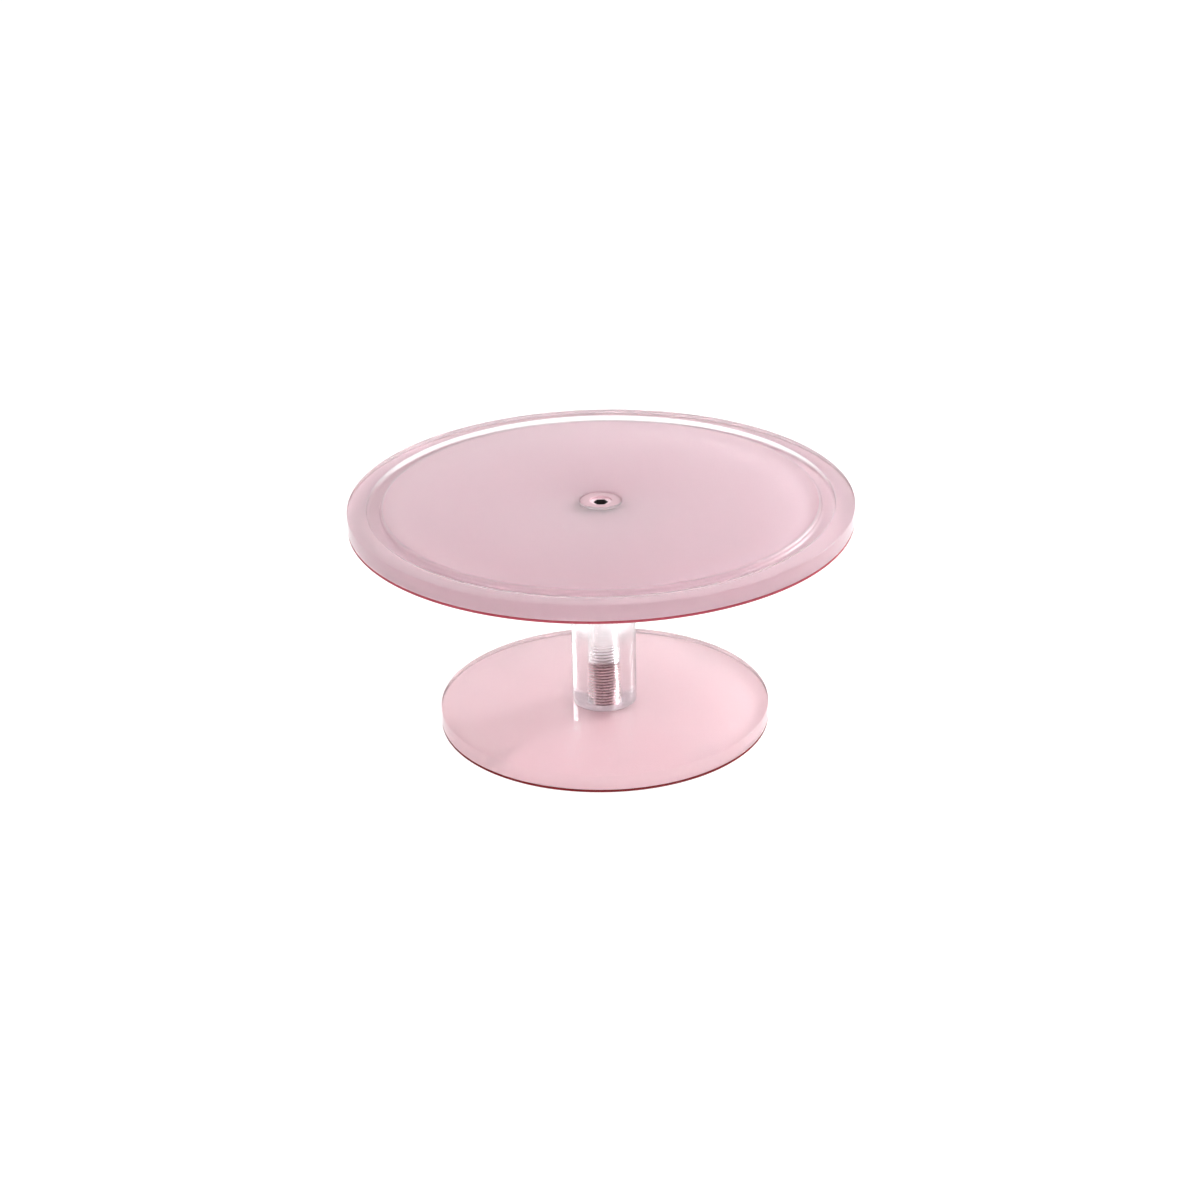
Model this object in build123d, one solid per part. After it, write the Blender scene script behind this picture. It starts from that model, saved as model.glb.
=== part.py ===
"""Cake turntable: a clear acrylic plate on a thrust ball bearing, turning on a
clear acrylic post that is screwed to a round clear acrylic base. Both discs
carry a thin pink layer on their undersides.

Millimetres. Origin on the ground at the centre of the base, +Z up the post.
Every node is a body of revolution about Z, apart from the hex sockets, the
balls, the cage pockets and the foot pads.
"""
import os
from math import cos, radians, sin, sqrt

from build123d import *

# ---- driving dimensions (mm) -------------------------------------------------
FOOT_D, FOOT_H, FOOT_PCR, FOOT_N = 12.0, 1.6, 76.0, 4   # rubber pads under the base

BASE_D = 180.0                 # base disc
DISC_T = 10.0                  # both discs: clear body plus colour layer
LAYER_T = 1.5                  # colour layer
EDGE = 0.5                     # polished edge break on the discs

POST_D = 35.0                  # acrylic rod
POST_EDGE = 0.4
BORE_D = 10.2                  # tap drill bore through the rod
THREAD_D = 12.0                # M12 major diameter
LOWER_TAP_L = 38.7             # tapped length from the rod's foot
UPPER_TAP_L = 26.0             # tapped length below the bearing seat

TOP_Z = 130.0                  # upper face of the plate
PLATE_D = 270.0
GROOVE_R_OUT, GROOVE_R_IN = 124.6, 117.4   # annular groove near the rim
GROOVE_DEPTH, GROOVE_R = 3.2, 1.6          # its depth and floor radii
LIP_R = 1.4                                # rounding of its inner edge
POST_GAP = 1.2                 # plate underside to the rod's top face

SCREW_L = 35.0                 # M12 countersunk screw, overall length
SCREW_HEAD_D = 24.0
SCREW_HEX_AF, SCREW_HEX_DEPTH = 8.0, 5.2
SCREW_CLEAR_D = 12.4           # clearance hole in the base disc

STUD_TOP_Z = 128.5             # top end of the axle stud, below the plate's face
STUD_L = 44.3
STUD_HEX_AF, STUD_HEX_DEPTH = 7.0, 6.5
STUD_CHAMFER = 0.2
DISH_R, DISH_DEPTH = 4.4, 0.25 # dished mouth round the hex socket

BUSH_D, BUSH_ID = 15.0, 12.1   # plain bush in the plate, running on the stud
COLLAR_D, COLLAR_TOP_Z = 22.4, 129.3       # retaining collar
COLLAR_T = 3.4
SEAT_D = 23.2                  # recess in the plate that takes the collar
SLIP_T, SLIP_D = 0.5, 21.0     # slip washer under the collar

BRG_H, BRG_OD = 9.0, 28.0      # thrust ball bearing
RACE_T = 2.8
UPPER_RACE_OD, LOWER_RACE_ID = 27.2, 16.0
BALL_D, BALL_PCR, BALL_N = 4.4, 10.8, 12
GROOVE_GAP = 0.3               # ball to raceway, all round
CAGE_T, CAGE_RI, CAGE_RO = 2.0, 7.9, 13.7
POCKET_GAP = 0.15

# ---- derived levels ----------------------------------------------------------
BASE_Z0 = FOOT_H                               # underside of the base
BASE_Z1 = BASE_Z0 + LAYER_T                    # layer / clear body
BASE_Z2 = BASE_Z0 + DISC_T                     # upper face of the base
PLATE_Z0 = TOP_Z - DISC_T                      # underside of the plate
PLATE_Z1 = PLATE_Z0 + LAYER_T
POST_Z1 = PLATE_Z0 - POST_GAP                  # rod's top face
BRG_Z0 = PLATE_Z0 - BRG_H                      # floor of the bearing seat
BALL_Z = PLATE_Z0 - BRG_H / 2
COLLAR_Z0 = COLLAR_TOP_Z - COLLAR_T
SEAT_Z = COLLAR_Z0 - 0.1 - SLIP_T              # floor of the collar's recess
STUD_Z0 = STUD_TOP_Z - STUD_L


def revolved(points):
    """Closed (r, z) outline turned about Z."""
    with BuildPart() as p:
        with BuildSketch(Plane.XZ):
            with BuildLine():
                Polyline(*points, close=True)
            make_face()
        revolve(axis=Axis.Z, revolution_arc=360)
    return p.part


def tube(r_in, r_out, z0, z1, c=0.0):
    """Ring with its outer edges broken by c."""
    if c:
        return revolved([(r_in, z0), (r_out - c, z0), (r_out, z0 + c),
                         (r_out, z1 - c), (r_out - c, z1), (r_in, z1)])
    return revolved([(r_in, z0), (r_out, z0), (r_out, z1), (r_in, z1)])


def hex_prism(af, z0, z1):
    """Hexagon with its corners on the X axis."""
    return extrude(Plane.XY.offset(z0) * RegularPolygon(af / sqrt(3), 6), z1 - z0)


parts = {}

# ---- stand -------------------------------------------------------------------
R = BASE_D / 2
head_h = (SCREW_HEAD_D - THREAD_D) / 2         # 90 degree countersink
sink_r1 = SCREW_HEAD_D / 2 - LAYER_T           # countersink radius at the layer's top
cone_top = BASE_Z0 + (SCREW_HEAD_D - SCREW_CLEAR_D) / 2
parts["base_colour_layer"] = revolved([
    (SCREW_HEAD_D / 2, BASE_Z0), (R - EDGE, BASE_Z0), (R, BASE_Z0 + EDGE),
    (R, BASE_Z1), (sink_r1, BASE_Z1)])
parts["base_plate"] = revolved([
    (sink_r1, BASE_Z1), (R, BASE_Z1), (R, BASE_Z2 - EDGE), (R - EDGE, BASE_Z2),
    (SCREW_CLEAR_D / 2, BASE_Z2), (SCREW_CLEAR_D / 2, cone_top)])

pads = []
for i in range(FOOT_N):
    a = radians(45 + 360 / FOOT_N * i)
    pads.append(Pos(FOOT_PCR * cos(a), FOOT_PCR * sin(a), FOOT_H / 2)
                * Cylinder(FOOT_D / 2, FOOT_H))
parts["foot_pads"] = Compound(children=pads)

# countersunk screw: head flush with the underside, hex socket from below
screw = revolved([
    (0, BASE_Z0), (SCREW_HEAD_D / 2 - 0.05, BASE_Z0),
    (THREAD_D / 2, BASE_Z0 + head_h - 0.05), (THREAD_D / 2, BASE_Z0 + SCREW_L - 1.0),
    (THREAD_D / 2 - 1.0, BASE_Z0 + SCREW_L), (0, BASE_Z0 + SCREW_L)])
parts["base_screw"] = screw - hex_prism(SCREW_HEX_AF, BASE_Z0 - 1, BASE_Z0 + SCREW_HEX_DEPTH)

# rod: tapped at both ends, smooth bore between, bearing seat in the top face
RP, RT, RB = POST_D / 2, THREAD_D / 2, BORE_D / 2
low_tap = BASE_Z2 + LOWER_TAP_L
up_tap = BRG_Z0 - UPPER_TAP_L
parts["post"] = revolved([
    (RT, BASE_Z2), (RP - POST_EDGE, BASE_Z2), (RP, BASE_Z2 + POST_EDGE),
    (RP, POST_Z1 - POST_EDGE), (RP - POST_EDGE, POST_Z1), (BRG_OD / 2, POST_Z1),
    (BRG_OD / 2, BRG_Z0), (RT, BRG_Z0), (RT, up_tap), (RB, up_tap - (RT - RB)),
    (RB, low_tap + (RT - RB)), (RT, low_tap)])

# axle stud with the hex socket in its top end
stud = revolved([
    (0, STUD_Z0), (RT - 1.0, STUD_Z0), (RT, STUD_Z0 + 1.0),
    (RT, STUD_TOP_Z - STUD_CHAMFER), (RT - STUD_CHAMFER, STUD_TOP_Z), (0, STUD_TOP_Z)])
dish = revolved([
    (0, STUD_TOP_Z - DISH_DEPTH), (DISH_R, STUD_TOP_Z - DISH_DEPTH),
    (RT - STUD_CHAMFER, STUD_TOP_Z), (RT - STUD_CHAMFER, STUD_TOP_Z + 1), (0, STUD_TOP_Z + 1)])
stud = stud - dish
parts["axle_stud"] = stud - hex_prism(STUD_HEX_AF, STUD_TOP_Z - STUD_HEX_DEPTH, STUD_TOP_Z + 1)

parts["retaining_collar"] = tube(RT, COLLAR_D / 2, COLLAR_Z0, COLLAR_TOP_Z, 0.3)


# thrust bearing races: raceways concentric with the balls
def race(r_in, r_out, z0, z1):
    ring = tube(r_in, r_out, z0, z1)
    return ring - Pos(0, 0, BALL_Z) * Torus(BALL_PCR, BALL_D / 2 + GROOVE_GAP)


parts["lower_race"] = race(LOWER_RACE_ID / 2, BRG_OD / 2, BRG_Z0, BRG_Z0 + RACE_T)

# ---- turntable ---------------------------------------------------------------
R = PLATE_D / 2
parts["upper_race"] = race(BUSH_D / 2, UPPER_RACE_OD / 2, PLATE_Z0 - RACE_T, PLATE_Z0)
parts["top_colour_layer"] = revolved([
    (BUSH_D / 2, PLATE_Z0), (R - EDGE, PLATE_Z0), (R, PLATE_Z0 + EDGE),
    (R, PLATE_Z1), (BUSH_D / 2, PLATE_Z1)])

floor_z = TOP_Z - GROOVE_DEPTH
with BuildPart() as plate:
    with BuildSketch(Plane.XZ) as sk:
        with BuildLine():
            Polyline((BUSH_D / 2, PLATE_Z1), (R, PLATE_Z1), (R, TOP_Z - EDGE), (R - EDGE, TOP_Z),
                     (GROOVE_R_OUT, TOP_Z), (GROOVE_R_OUT, floor_z),
                     (GROOVE_R_IN, floor_z), (GROOVE_R_IN, TOP_Z),
                     (SEAT_D / 2, TOP_Z), (SEAT_D / 2, SEAT_Z), (BUSH_D / 2, SEAT_Z), close=True)
        make_face()
        corners = sk.sketch_local.vertices()
        fillet([v for v in corners if abs(v.Y - floor_z) < 0.01], GROOVE_R)
        corners = sk.sketch_local.vertices()
        fillet([v for v in corners if abs(v.Y - TOP_Z) < 0.01 and abs(v.X - GROOVE_R_IN) < 0.01], LIP_R)
    revolve(axis=Axis.Z, revolution_arc=360)
parts["top_plate"] = plate.part

parts["plate_bush"] = tube(BUSH_ID / 2, BUSH_D / 2, PLATE_Z0 - RACE_T - 0.6, SEAT_Z)
parts["slip_washer"] = tube(BUSH_ID / 2, SLIP_D / 2, SEAT_Z, SEAT_Z + SLIP_T)

# ---- cage --------------------------------------------------------------------
cage = tube(CAGE_RI, CAGE_RO, BALL_Z - CAGE_T / 2, BALL_Z + CAGE_T / 2)
balls = []
for i in range(BALL_N):
    a = radians(360 / BALL_N * i)
    at = Pos(BALL_PCR * cos(a), BALL_PCR * sin(a), BALL_Z)
    cage = cage - at * Cylinder(BALL_D / 2 + POCKET_GAP, CAGE_T + 2)
    balls.append(at * Sphere(BALL_D / 2))
parts["ball_cage"] = cage
parts["bearing_balls"] = Compound(children=balls)

# ---- write -------------------------------------------------------------------
os.makedirs("parts", exist_ok=True)
for name, shape in parts.items():
    export_step(shape, f"parts/{name}.step")
    print(name, round(shape.volume, 1), "mm3")
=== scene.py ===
"""Cake turntable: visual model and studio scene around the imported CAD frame."""
import math

import bpy
from mathutils import Matrix, Vector


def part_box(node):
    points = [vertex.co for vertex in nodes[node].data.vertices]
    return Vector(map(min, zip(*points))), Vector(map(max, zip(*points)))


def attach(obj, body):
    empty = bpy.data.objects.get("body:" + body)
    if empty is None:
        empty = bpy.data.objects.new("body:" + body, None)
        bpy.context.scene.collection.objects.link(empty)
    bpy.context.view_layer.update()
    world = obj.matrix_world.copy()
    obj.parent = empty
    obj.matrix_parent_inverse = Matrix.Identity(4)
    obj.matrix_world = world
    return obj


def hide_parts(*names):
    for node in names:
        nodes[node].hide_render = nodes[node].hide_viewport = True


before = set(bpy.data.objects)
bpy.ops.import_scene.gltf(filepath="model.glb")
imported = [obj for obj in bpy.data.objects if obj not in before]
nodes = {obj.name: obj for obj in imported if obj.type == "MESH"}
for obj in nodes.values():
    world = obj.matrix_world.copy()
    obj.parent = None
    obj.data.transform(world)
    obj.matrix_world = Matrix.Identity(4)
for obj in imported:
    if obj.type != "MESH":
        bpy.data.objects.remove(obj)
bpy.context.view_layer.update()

MM = 0.001


# ------------------------------------------------------------------ geometry
def extent(node):
    """Outer radius, lowest and highest z of a node that is round about Z, in mm."""
    lo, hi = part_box(node)
    return max(hi.x, -lo.x, hi.y, -lo.y) / MM, lo.z / MM, hi.z / MM


def rounded(points, n=5):
    """Outline from (r, z) or (r, z, fillet radius) corners, the filleted ones turned into arcs."""
    out, count = [], len(points)
    for i, p in enumerate(points):
        if len(p) < 3 or p[2] <= 0:
            out.append((p[0], p[1]))
            continue
        a, b, c = Vector(points[i - 1][:2]), Vector(p[:2]), Vector(points[(i + 1) % count][:2])
        u, v = (a - b).normalized(), (c - b).normalized()
        half = u.angle(v) / 2
        reach = p[2] / math.tan(half)
        centre = b + (u + v).normalized() * (p[2] / math.sin(half))
        s, e = b + u * reach - centre, b + v * reach - centre
        turn = math.atan2(s.x * e.y - s.y * e.x, s.dot(e))
        for k in range(n + 1):
            t = turn * k / n
            q = centre + Vector((s.x * math.cos(t) - s.y * math.sin(t), s.x * math.sin(t) + s.y * math.cos(t)))
            out.append((q.x, q.y))
    return out


def shaded(mesh, angle):
    for p in mesh.polygons:
        p.use_smooth = True
    mesh.set_sharp_from_angle(angle=math.radians(angle))


def make(name, verts, faces, angle=25):
    """Mesh object from millimetre coordinates."""
    mesh = bpy.data.meshes.new(name)
    mesh.from_pydata([tuple(c * MM for c in v) for v in verts], [], faces)
    mesh.validate()
    mesh.update()
    shaded(mesh, angle)
    obj = bpy.data.objects.new(name, mesh)
    bpy.context.scene.collection.objects.link(obj)
    return obj


def grid(rows, closed_rows, seg, wall):
    """Vertices and faces of a grid turned about Z. rows holds functions of the angle giving (r, z)."""
    verts, faces = [], []
    ring = []
    for row in rows:
        if callable(row):
            ring.append(list(range(len(verts), len(verts) + seg)))
            for j in range(seg):
                t = 2 * math.pi * j / seg
                r, z = row(t)
                verts.append((r * math.cos(t), r * math.sin(t), z))
        elif row[0] < 1e-9:
            ring.append([len(verts)] * seg)
            verts.append((0, 0, row[1]))
        else:
            ring.append(list(range(len(verts), len(verts) + seg)))
            for j in range(seg):
                t = 2 * math.pi * j / seg
                verts.append((row[0] * math.cos(t), row[0] * math.sin(t), row[1]))
    last = len(ring) if closed_rows else len(ring) - 1
    for i in range(last):
        a, b = ring[i], ring[(i + 1) % len(ring)]
        for j in range(seg):
            k = (j + 1) % seg
            f = [a[j], a[k], b[k], b[j]]
            f = [v for n, v in enumerate(f) if v != f[n - 1]]
            if len(f) > 2:
                faces.append(tuple(f) if not wall else tuple(reversed(f)))
    return verts, faces


def lathe(name, outline, seg=256, angle=25, flip=False):
    """Closed solid of revolution. The outline runs counter-clockwise in the (r, z) half plane."""
    on_axis = outline[0][0] < 1e-9
    verts, faces = grid(outline, not on_axis, seg, flip)
    return make(name, verts, faces, angle)


def thread_rows(r_major, r_minor, z0, z1, pitch, per=14, lead=0.0, tail=0.0):
    """Rows of a right-handed 60 degree thread between two levels, running out to r_minor over lead at each
    end, or over tail at the upper end alone."""
    depth = r_major - r_minor
    count = max(2, round((z1 - z0) / pitch * per))
    rows = []
    for i in range(count + 1):
        z = z0 + (z1 - z0) * i / count
        ease = 1.0
        if lead:
            ease = min(1.0, max(0.0, (z - z0) / lead), max(0.0, (z1 - z) / lead))
        if tail:
            ease = min(1.0, max(0.0, (z1 - z) / tail))

        def row(t, z=z, ease=ease):
            u = (z / pitch - t / (2 * math.pi)) % 1.0
            tri = 1 - abs(2 * u - 1)                      # 0 at the root, 1 at the crest
            h = min(1.0, max(0.0, (tri - 0.125) / 0.75))
            return r_minor + depth * h * ease, z
        rows.append(row)
    return rows


def hex_radius(t, af):
    """Radius of a hexagon with corners on +X and -X at angle t."""
    s = math.radians(60)
    d = (t % s) - s / 2
    return af / 2 / math.cos(d)


# ------------------------------------------------------------------ materials
class Mat:
    """Principled material with small helpers for procedural inputs."""

    def __init__(self, name):
        self.m = bpy.data.materials.new(name)
        self.m.use_nodes = True
        self.t = self.m.node_tree
        self.n = self.t.nodes
        self.b = self.n["Principled BSDF"]
        self.co = self.n.new("ShaderNodeTexCoord").outputs["Object"]

    def set(self, **kw):
        for k, v in kw.items():
            self.b.inputs[k.replace("_", " ")].default_value = v
        return self

    def noise(self, scale, detail=3.0, rough=0.55, stretch=None):
        co = self.co
        if stretch:
            mp = self.n.new("ShaderNodeMapping")
            mp.inputs["Scale"].default_value = stretch
            self.t.links.new(co, mp.inputs["Vector"])
            co = mp.outputs["Vector"]
        x = self.n.new("ShaderNodeTexNoise")
        x.inputs["Scale"].default_value = scale
        x.inputs["Detail"].default_value = detail
        x.inputs["Roughness"].default_value = rough
        self.t.links.new(co, x.inputs["Vector"])
        return x.outputs["Fac"]

    def ramp(self, fac, stops):
        r = self.n.new("ShaderNodeValToRGB")
        e = r.color_ramp.elements
        e[0].position, e[0].color = stops[0]
        e[1].position, e[1].color = stops[-1]
        for pos, col in stops[1:-1]:
            e.new(pos).color = col
        self.t.links.new(fac, r.inputs["Fac"])
        return r.outputs["Color"]

    def span(self, fac, lo, hi, a=0.3, b=0.7):
        m = self.n.new("ShaderNodeMapRange")
        for k, v in (("From Min", a), ("From Max", b), ("To Min", lo), ("To Max", hi)):
            m.inputs[k].default_value = v
        self.t.links.new(fac, m.inputs["Value"])
        return m.outputs["Result"]

    def radius(self):
        """Distance from the Z axis, in metres."""
        s = self.n.new("ShaderNodeSeparateXYZ")
        self.t.links.new(self.co, s.inputs["Vector"])
        c = self.n.new("ShaderNodeCombineXYZ")
        self.t.links.new(s.outputs["X"], c.inputs["X"])
        self.t.links.new(s.outputs["Y"], c.inputs["Y"])
        v = self.n.new("ShaderNodeVectorMath")
        v.operation = "LENGTH"
        self.t.links.new(c.outputs["Vector"], v.inputs[0])
        return v.outputs["Value"]

    def mix(self, fac, a, b):
        x = self.n.new("ShaderNodeMix")
        x.data_type = "RGBA"
        for sock, v in ((x.inputs["Factor"], fac), (x.inputs["A"], a), (x.inputs["B"], b)):
            if isinstance(v, bpy.types.NodeSocket):
                self.t.links.new(v, sock)
            else:
                sock.default_value = v
        return x.outputs["Result"]

    def put(self, name, out):
        self.t.links.new(out, self.b.inputs[name])
        return self

    def bump(self, fac, strength, distance):
        x = self.n.new("ShaderNodeBump")
        x.inputs["Strength"].default_value = strength
        x.inputs["Distance"].default_value = distance
        self.t.links.new(fac, x.inputs["Height"])
        self.t.links.new(x.outputs["Normal"], self.b.inputs["Normal"])
        return self


def lin(r, g, b):
    """Linear colour from 0-255 display values."""
    def f(c):
        c /= 255
        return c / 12.92 if c <= 0.04045 else ((c + 0.055) / 1.055) ** 2.4
    return (f(r), f(g), f(b), 1.0)


def clear(name, tint, rough_lo, rough_hi, satin=0.0, ground=None):
    """Clear acrylic. With satin above zero its level faces have that roughness and its walls stay polished.
    ground is an optional band (inner radius, outer radius, roughness) with a coarser finish."""
    m = Mat(name).set(Transmission_Weight=1.0, IOR=1.49)
    n = m.noise(60.0, 2.0)
    m.put("Base Color", m.ramp(n, [(0.3, tint), (0.7, tuple(min(1.0, c * 1.006) for c in tint[:3]) + (1.0,))]))
    rough = m.span(m.noise(35.0, 3.0), rough_lo, rough_hi)
    if satin:
        geo = m.n.new("ShaderNodeNewGeometry")
        s = m.n.new("ShaderNodeSeparateXYZ")
        m.t.links.new(geo.outputs["Normal"], s.inputs["Vector"])
        level = m.n.new("ShaderNodeMath")
        level.operation = "ABSOLUTE"
        m.t.links.new(s.outputs["Z"], level.inputs[0])
        face = m.span(level.outputs[0], 0.0, 1.0, 0.15, 0.5)
        x = m.n.new("ShaderNodeMix")
        x.data_type = "FLOAT"
        m.t.links.new(face, x.inputs[0])
        m.t.links.new(rough, x.inputs[2])
        m.t.links.new(m.span(m.noise(140.0, 4.0), satin * 0.95, satin * 1.05), x.inputs[3])
        rough = x.outputs[0]
    if ground:
        r_in, r_out, value = ground
        r = m.radius()
        both = m.n.new("ShaderNodeMath")
        both.operation = "MULTIPLY"
        m.t.links.new(m.span(r, 0.0, 1.0, (r_in - 0.1) * MM, r_in * MM), both.inputs[0])
        m.t.links.new(m.span(r, 1.0, 0.0, r_out * MM, (r_out + 0.1) * MM), both.inputs[1])
        x = m.n.new("ShaderNodeMix")
        x.data_type = "FLOAT"
        m.t.links.new(both.outputs[0], x.inputs[0])
        m.t.links.new(rough, x.inputs[2])
        m.t.links.new(m.span(m.noise(180.0, 3.0), value * 0.95, value * 1.05), x.inputs[3])
        rough = x.outputs[0]
    m.put("Roughness", rough)
    return m.m


def pink(name, edge_r, face_a, face_b, edge_red_shade_a, edge_red_shade_b):
    """Translucent pink sheet; its outer cut edge, past edge_r, is a deeper red, partly the sheet's own colour seen
    edge-on and partly painted shade for the dark line along the disc's bottom edge.
    """
    m = Mat(name).set(Transmission_Weight=PINK_TRANS, IOR=1.49, Specular_IOR_Level=0.0)
    n = m.noise(180.0, 4.0)
    face = m.ramp(n, [(0.25, face_a), (0.75, face_b)])
    # cut-edge colour: the sheet's own deeper red plus painted shade
    edge = m.ramp(m.noise(260.0, 3.0), [(0.3, edge_red_shade_a), (0.7, edge_red_shade_b)])
    fac = m.span(m.radius(), 0.0, 1.0, edge_r - 0.0001, edge_r + 0.0001)
    m.put("Base Color", m.mix(fac, face, edge))
    m.put("Roughness", m.span(m.noise(420.0, 2.0), 0.5, 0.62))
    return m.m


PINK_TRANS = 0.35
# Face colours, then cut-edge colours; the cut edges are partly the sheet's own deeper red and partly painted shade.
# The base sheet is the same pink as the top: its face is painted lighter (painted light) and its edge darker
# (painted shade).
PINK_TOP = lin(247, 218, 226), lin(249, 221, 229), lin(152, 50, 64), lin(164, 60, 74)
PINK_BASE_LIT_AND_SHADED = lin(252, 227, 231), lin(254, 230, 234), lin(96, 8, 12), lin(108, 12, 16)

mat_plate = clear("acrylic_clear", (0.90, 0.895, 0.895, 1.0), 0.02, 0.04, satin=0.25, ground=(115.9, 124.7, 0.38))
mat_rod = clear("acrylic_rod", (0.90, 0.885, 0.895, 1.0), 0.18, 0.20)

m = Mat("rod_end").set(Transmission_Weight=0.45, IOR=1.49)
m.put("Base Color", m.ramp(m.noise(700.0, 3.0), [(0.3, lin(238, 222, 230)), (0.7, lin(244, 230, 236))]))
m.put("Roughness", m.span(m.noise(900.0, 3.0), 0.5, 0.6))
mat_rod_end = m.m

m = Mat("steel_root_shade_pink_reflection").set(Metallic=1.0)
# Painted shade and reflection: the thread roots are dark red for the shade in them, and the crests pink for the pink
# discs reflected in the steel.
crest = m.span(m.radius(), 0.0, 1.0, 0.0052, 0.0058)
crest_pink_reflection = m.ramp(m.noise(900.0, 4.0), [(0.3, (0.82, 0.58, 0.61, 1)), (0.7, (0.92, 0.70, 0.72, 1))])
m.put("Base Color", m.mix(crest, (0.10, 0.02, 0.03, 1), crest_pink_reflection))
m.put("Roughness", m.span(m.noise(1600.0, 3.0), 0.22, 0.38))
m.bump(m.noise(3000.0, 2.0), 0.05, 0.00002)
mat_steel_painted_reflection = m.m

m = Mat("steel_stud").set(Metallic=1.0)
m.put("Base Color", m.ramp(m.noise(900.0, 4.0), [(0.3, (0.60, 0.58, 0.58, 1)), (0.7, (0.72, 0.70, 0.70, 1))]))
m.put("Roughness", m.span(m.noise(1600.0, 3.0), 0.16, 0.3))
mat_stud = m.m

m = Mat("enamel_pink").set(Coat_Weight=1.0, Metallic=0.5)
m.put("Base Color", m.ramp(m.noise(700.0, 3.0), [(0.3, lin(236, 198, 208)), (0.7, lin(240, 204, 214))]))
m.put("Roughness", m.span(m.noise(1600.0, 3.0), 0.25, 0.35))
mat_enamel = m.m

m = Mat("ring_pink").set(Specular_IOR_Level=0.25)
m.put("Base Color", m.ramp(m.noise(600.0, 3.0), [(0.3, lin(193, 159, 167)), (0.7, lin(197, 164, 172))]))
m.put("Roughness", m.span(m.noise(900.0, 3.0), 0.45, 0.55))
mat_ring = m.m

# Painted shade: the stud's hex socket walls and floor are near-black to stand for the shade inside the recess.
m = Mat("socket_painted_shade")
m.put("Base Color", m.ramp(m.noise(1200.0, 3.0), [(0.3, (0.008, 0.005, 0.006, 1)), (0.7, (0.016, 0.010, 0.012, 1))]))
m.put("Roughness", m.span(m.noise(1600.0, 3.0), 0.5, 0.7))
mat_socket_painted_shade = m.m

m = Mat("bearing_steel").set(Metallic=1.0)
m.put("Base Color", m.ramp(m.noise(700.0, 3.0), [(0.3, (0.66, 0.66, 0.67, 1)), (0.7, (0.78, 0.78, 0.79, 1))]))
m.put("Roughness", m.span(m.noise(2000.0, 3.0), 0.08, 0.18))
mat_bearing = m.m

m = Mat("cage_steel").set(Metallic=1.0)
m.put("Base Color", m.ramp(m.noise(1100.0, 3.0), [(0.3, (0.42, 0.42, 0.43, 1)), (0.7, (0.56, 0.56, 0.57, 1))]))
m.put("Roughness", m.span(m.noise(1500.0, 3.0), 0.3, 0.45))
mat_cage = m.m

m = Mat("acetal_pink")
m.put("Base Color", m.ramp(m.noise(500.0, 3.0), [(0.3, lin(240, 196, 207)), (0.7, lin(243, 201, 212))]))
m.put("Roughness", m.span(m.noise(900.0, 3.0), 0.42, 0.55))
mat_pinkbush = m.m

m = Mat("foot_rubber")
m.put("Base Color", m.ramp(m.noise(800.0, 4.0), [(0.3, lin(205, 203, 201)), (0.7, lin(216, 214, 212))]))
m.put("Roughness", m.span(m.noise(1800.0, 3.0), 0.55, 0.75))
m.bump(m.noise(2600.0, 3.0), 0.1, 0.00003)
mat_foot = m.m


def dress(obj, mat):
    obj.data.materials.clear()
    obj.data.materials.append(mat)


# ------------------------------------------------------------------ discs
plate_r, plate_z1, top_z = extent("top_plate")
_, plate_z0, _ = extent("top_colour_layer")
bush_r, bush_z0, seat_z = extent("plate_bush")
collar_r, collar_z0, collar_z1 = extent("retaining_collar")
GROOVE_OUT, GROOVE_IN, GROOVE_DEPTH, GROOVE_FILLET = 124.6, 117.4, 3.2, 1.6
SEAT_R = 11.6
BOND = 0.02                      # the layer stands this far into the clear disc
floor_z = top_z - GROOVE_DEPTH

top_plate = lathe("top_plate_clear", rounded([
    (bush_r, plate_z1), (plate_r, plate_z1), (plate_r, top_z, 0.45),
    (GROOVE_OUT, top_z, 0.3), (GROOVE_OUT, floor_z, GROOVE_FILLET),
    (GROOVE_IN, floor_z, GROOVE_FILLET), (GROOVE_IN, top_z, 1.4),
    (SEAT_R, top_z, 0.15), (SEAT_R, seat_z), (bush_r, seat_z)]), seg=512)
dress(top_plate, mat_plate)
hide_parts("top_plate")
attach(top_plate, "turntable")

top_layer = lathe("top_plate_colour", rounded([
    (bush_r, plate_z0), (plate_r - 0.05, plate_z0, 0.3), (plate_r - 0.05, plate_z1 + BOND), (bush_r, plate_z1 + BOND)]), seg=512)
dress(top_layer, pink("pink_top", (plate_r - 0.3) * MM, *PINK_TOP))
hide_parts("top_colour_layer")
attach(top_layer, "turntable")

base_r, base_z1, base_z2 = extent("base_plate")
_, base_z0, _ = extent("base_colour_layer")
SINK_R, SINK_R1, CLEAR_R = 12.0, 10.5, 6.2
cone_top = base_z0 + SINK_R - CLEAR_R
base_plate = lathe("base_plate_clear", rounded([
    (SINK_R1, base_z1), (base_r, base_z1), (base_r, base_z2, 0.45),
    (CLEAR_R, base_z2), (CLEAR_R, cone_top)]), seg=384)
dress(base_plate, mat_plate)
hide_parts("base_plate")
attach(base_plate, "stand")

base_layer = lathe("base_colour", rounded([
    (SINK_R, base_z0), (base_r - 0.05, base_z0, 0.3), (base_r - 0.05, base_z1 + BOND), (SINK_R1, base_z1 + BOND)]), seg=384)
# the base sheet's colours hold painted light on its face and painted shade on its cut edge
dress(base_layer, pink("pink_base_painted_light_and_shade", (base_r - 0.3) * MM, *PINK_BASE_LIT_AND_SHADED))
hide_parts("base_colour_layer")
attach(base_layer, "stand")

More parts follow.
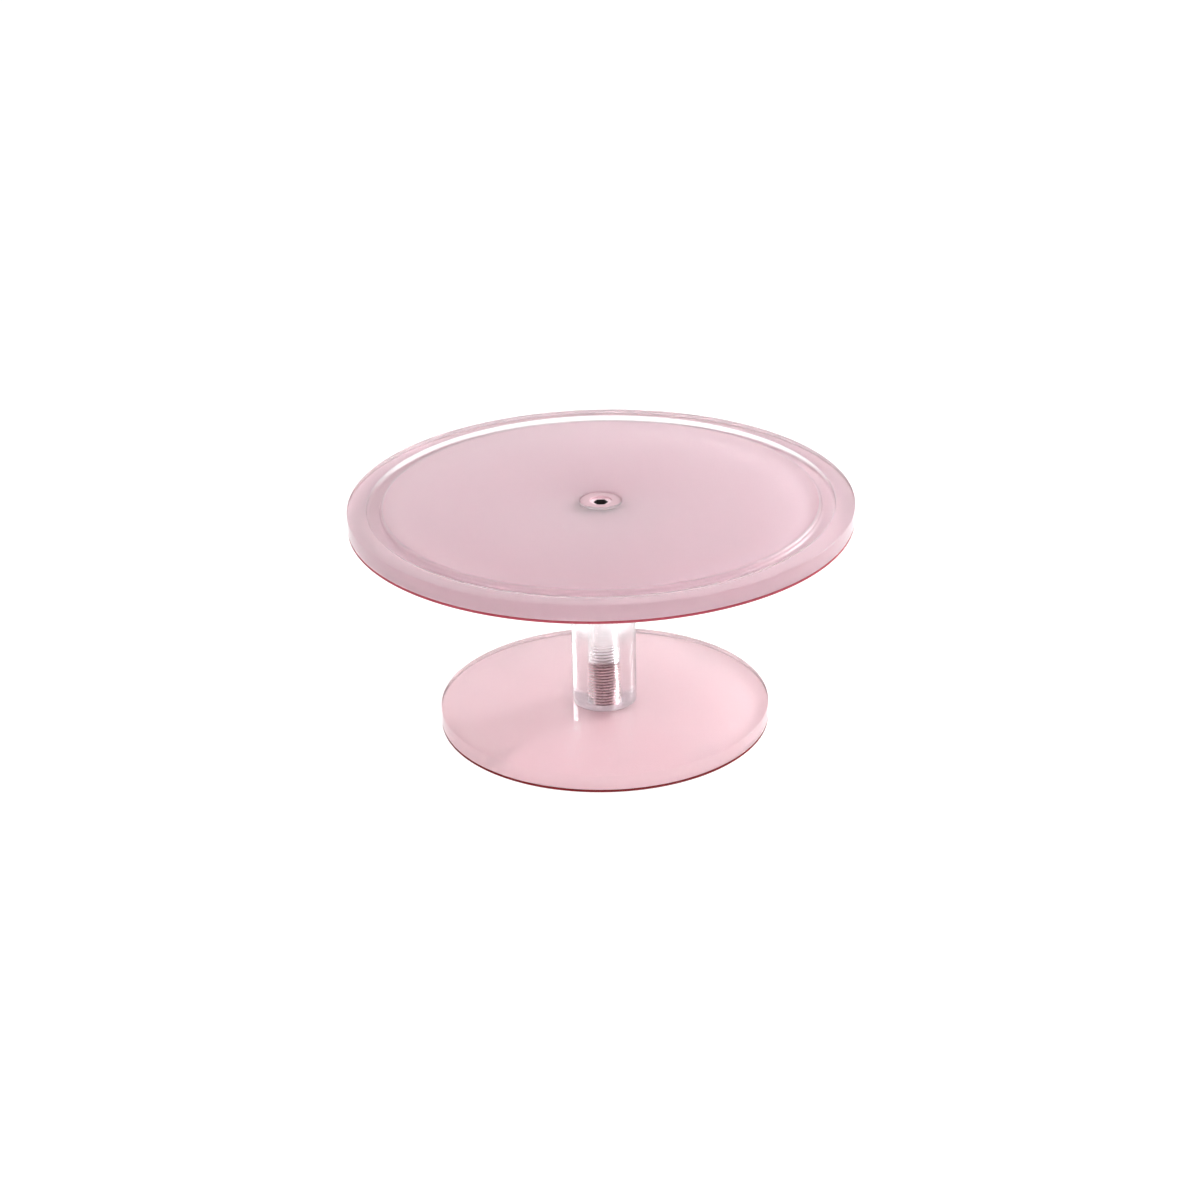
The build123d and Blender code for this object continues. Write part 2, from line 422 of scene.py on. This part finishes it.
# ------------------------------------------------------------------ post
post_r, post_z0, post_z1 = extent("post")
race_r, race_z0, _ = extent("lower_race")
PITCH, MAJOR, MINOR, TAP_L, TAP_TOP = 1.75, 6.0, 5.1, 38.7, 26.0
low_tap, up_tap = post_z0 + TAP_L, race_z0 - TAP_TOP
bite = extent("base_screw")[2] - 0.3     # below this the screw fills the tapped hole
rows = [(post_r - 0.35, post_z0), (post_r, post_z0 + 0.35), (post_r, post_z1 - 0.35), (post_r - 0.35, post_z1),
        (race_r, post_z1), (race_r, race_z0), (MAJOR, race_z0)]
rows += list(reversed(thread_rows(MAJOR, MINOR, up_tap, race_z0 - 0.5, PITCH)))
rows += [(MINOR, up_tap - 0.5), (MINOR, low_tap + 0.1)]
rows += list(reversed(thread_rows(MINOR + 0.4, MINOR, bite, low_tap, PITCH, tail=10.0)))
rows += [(MAJOR, post_z0)]
verts, faces = grid(rows, True, 128, False)
post = make("post_rod", verts, faces, 20)
dress(post, mat_rod)
post.data.materials.append(mat_rod_end)
for p in post.data.polygons:
    if p.center.z / MM < post_z0 + 0.2:
        p.material_index = 1
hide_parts("post")
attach(post, "stand")

# ------------------------------------------------------------------ screws
screw_head_r, screw_z0, screw_z1 = extent("base_screw")


def socket_rows(af, z_open, z_floor, flare):
    """Rows from a socket's mouth to its floor, hexagonal, with a small round flare at the mouth."""
    def hexa(z, scale=1.0):
        return lambda t: (hex_radius(t, af) * scale, z)
    step = 1 if z_open > z_floor else -1
    return [hexa(z_open, 1.0 + flare), hexa(z_open - step * 0.3), hexa(z_floor), (0, z_floor - step * 1.2)]


rows = [(0, screw_z1), (MAJOR - 1.0, screw_z1), (MINOR - 0.1, screw_z1 - 0.4)]
rows += list(reversed(thread_rows(MAJOR - 0.07, MINOR - 0.1, base_z2 - 2.0, screw_z1 - 0.4, PITCH, lead=1.0)))
rows += [(MAJOR - 0.07, base_z2 - 2.4), (MAJOR - 0.07, screw_z0 + screw_head_r - MAJOR), (screw_head_r, screw_z0 + 0.25), (screw_head_r - 0.2, screw_z0)]
rows += socket_rows(8.0, screw_z0, screw_z0 + 5.0, 0.05)
verts, faces = grid(rows, False, 96, False)
faces = [tuple(reversed(f)) for f in faces]
screw = make("base_screw_m12", verts, faces, 30)
# the screw's steel carries painted shade in the thread roots and a painted pink reflection
dress(screw, mat_steel_painted_reflection)
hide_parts("base_screw")
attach(screw, "stand")

DISH = 0.25
_, stud_z0, stud_z1 = extent("axle_stud")
rows = [(0, stud_z0), (MINOR - 0.6, stud_z0), (MINOR - 0.1, stud_z0 + 0.6)]
rows += thread_rows(MAJOR - 0.07, MINOR - 0.1, stud_z0 + 0.6, race_z0 + 0.5, PITCH, lead=0.8)
rows += [(MAJOR - 0.02, race_z0 + 1.2), (MAJOR - 0.02, stud_z1 - 0.2), (MAJOR - 0.22, stud_z1)]
rows += [(4.4, stud_z1 - DISH)] + [(lambda t, z=z: (hex_radius(t, 7.0), z)) for z in (stud_z1 - DISH - 0.02, stud_z1 - 6.5)]
rows += [(0, stud_z1 - 7.7)]
verts, faces = grid(rows, False, 96, False)
stud = make("axle_stud_m12", verts, faces, 30)
stud.data.materials.append(mat_stud)
stud.data.materials.append(mat_socket_painted_shade)
stud.data.materials.append(mat_enamel)
# the socket's walls and floor get the painted shade; the end face above them gets the pink enamel
for p in stud.data.polygons:
    c = p.center
    r = math.hypot(c.x, c.y) / MM
    if r < 4.06 and c.z / MM > stud_z1 - 8 and abs(p.normal.z) < 0.9 or r < 3.0 and c.z / MM > stud_z1 - 8:
        p.material_index = 1
    elif c.z / MM > stud_z1 - 1.2:
        p.material_index = 2
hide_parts("axle_stud")
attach(stud, "stand")

collar = lathe("retaining_ring", rounded([
    (MAJOR, collar_z0), (collar_r, collar_z0), (collar_r, collar_z1, 0.3), (MAJOR, collar_z1, 0.12)]), seg=128)
dress(collar, mat_ring)
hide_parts("retaining_collar")
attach(collar, "stand")

# ------------------------------------------------------------------ carried-over nodes
for name, mat in (("lower_race", mat_bearing), ("upper_race", mat_bearing), ("bearing_balls", mat_bearing),
                  ("ball_cage", mat_cage), ("plate_bush", mat_pinkbush), ("slip_washer", mat_pinkbush), ("foot_pads", mat_foot)):
    dress(nodes[name], mat)
    shaded(nodes[name].data, 35)

# ------------------------------------------------------------------ studio
floor = bpy.data.meshes.new("floor")
floor.from_pydata([(-4, -4, 0), (4, -4, 0), (4, 4, 0), (-4, 4, 0)], [], [(0, 1, 2, 3)])
floor = bpy.data.objects.new("floor", floor)
bpy.context.scene.collection.objects.link(floor)
m = Mat("floor_white").set(Emission_Color=(1, 1, 1, 1), Emission_Strength=0.6)
m.put("Base Color", m.ramp(m.noise(2.0, 2.0), [(0.3, (0.545, 0.545, 0.545, 1)), (0.7, (0.555, 0.555, 0.555, 1))]))
m.put("Roughness", m.span(m.noise(3.0, 2.0), 0.85, 0.95))
floor.data.materials.append(m.m)

SKY = [(0.0, 0.3), (1.0, 0.0), (0.25, 1.6), (0.5, 1.5), (0.75, 0.1)]   # light level by height
world = bpy.data.worlds.new("studio")
bpy.context.scene.world = world
world.use_nodes = True
wt = world.node_tree
bg = wt.nodes["Background"]
way = wt.nodes.new("ShaderNodeTexCoord")
split = wt.nodes.new("ShaderNodeSeparateXYZ")
wt.links.new(way.outputs["Generated"], split.inputs["Vector"])
sky = wt.nodes.new("ShaderNodeValToRGB")
el = sky.color_ramp.elements
for i, (height, level) in enumerate(SKY):
    e = el[i] if i < 2 else el.new(height)
    e.position, e.color = height, (level, level, level, 1)
wt.links.new(split.outputs["Z"], sky.inputs["Fac"])
wt.links.new(sky.outputs["Color"], bg.inputs["Color"])
bg.inputs["Strength"].default_value = 1.0

AIM = Vector((0, 0, 60)) * MM


def softbox(name, azimuth, elevation, distance, size, power, colour=(1, 1, 1)):
    light = bpy.data.lights.new(name, "AREA")
    light.shape = "DISK"
    light.size = size
    light.energy = power
    light.color = colour
    obj = bpy.data.objects.new(name, light)
    a, e = math.radians(azimuth), math.radians(elevation)
    obj.location = AIM + distance * Vector((math.cos(a) * math.cos(e), math.sin(a) * math.cos(e), math.sin(e)))
    obj.rotation_euler = (AIM - obj.location).to_track_quat("-Z", "Y").to_euler()
    bpy.context.scene.collection.objects.link(obj)
    return obj


softbox("key", 25, 20, 1.6, 0.5, 31.0)
softbox("front_left", 215, 30, 1.8, 1.5, 9.0)
softbox("front_right", 325, 30, 1.8, 1.5, 10.0)
softbox("front_low", 270, 11, 1.9, 1.4, 8.0)

# camera: level heading along +Y, 24.77 degrees down, 1.21 degrees of roll
cam_data = bpy.data.cameras.new("camera")
cam_data.sensor_width = 36.0
cam_data.lens = 79.4
cam_data.clip_start = 0.05
cam = bpy.data.objects.new("camera", cam_data)
e, roll = math.radians(24.770), math.radians(1.214)
right, up = Vector((1, 0, 0)), Vector((0, math.sin(e), math.cos(e)))
back = Vector((0, -math.cos(e), math.sin(e)))
x_axis = math.cos(roll) * right - math.sin(roll) * up
y_axis = math.sin(roll) * right + math.cos(roll) * up
cam.matrix_world = Matrix.Translation(Vector((-1.512, -1301.7, 671.4)) * MM) @ Matrix((x_axis, y_axis, back)).transposed().to_4x4()
bpy.context.scene.collection.objects.link(cam)
bpy.context.scene.camera = cam

scene = bpy.context.scene
scene.cycles.blur_glossy = 0.0
scene.cycles.sample_clamp_indirect = 50.0
scene.view_settings.view_transform = "Standard"
scene.view_settings.look = "None"
scene.view_settings.exposure = 0.0
scene.view_settings.gamma = 1.0

bpy.context.view_layer.update()
